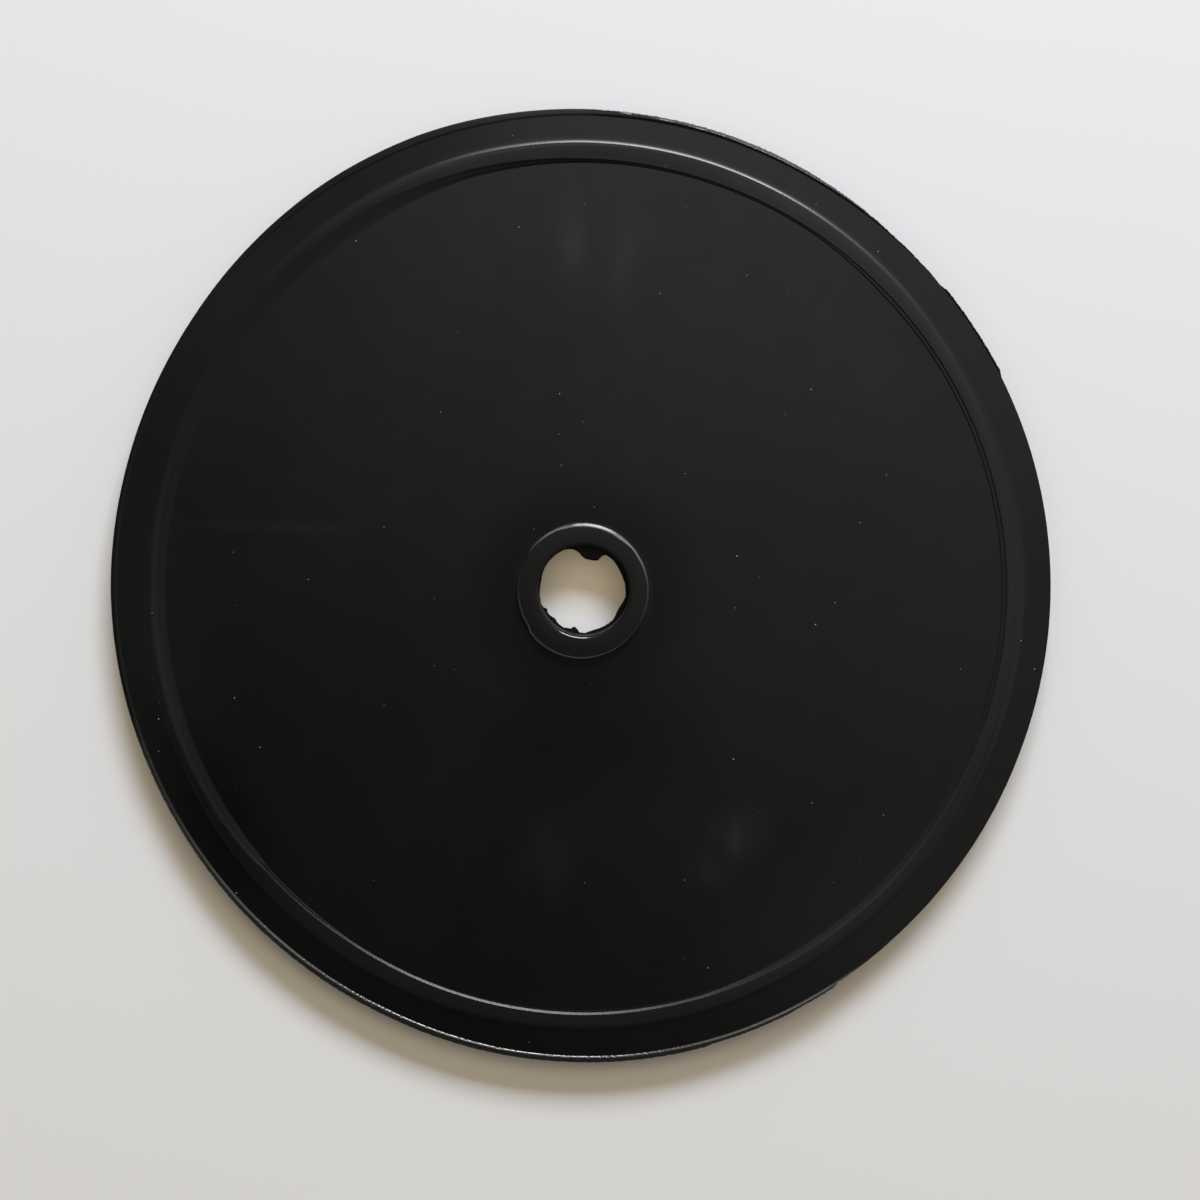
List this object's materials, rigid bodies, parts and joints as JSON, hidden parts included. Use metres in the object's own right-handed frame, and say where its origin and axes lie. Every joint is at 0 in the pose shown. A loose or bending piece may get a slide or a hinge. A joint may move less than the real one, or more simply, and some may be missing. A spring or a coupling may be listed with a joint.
{
  "type": "valve diaphragm",
  "caption": "Flat round rubber diaphragm with a central hub and stem bore, a flexing web, a low raised sealing land and a flat clamping rim.",
  "frame": {"origin": "on the bore's axis, at the flat underside on which the diaphragm lies", "axes": "+Z along the bore's axis, up through the hub; +X and +Y in the plane of the disc"},
  "size_m": [0.1693, 0.1705, 0.0068],
  "materials": {
    "rubber": "smooth moulded black rubber, semi-matt, lightly dusty"
  },
  "bodies": {
    "root": {"diaphragm": "rubber"}
  },
  "joints": []
}
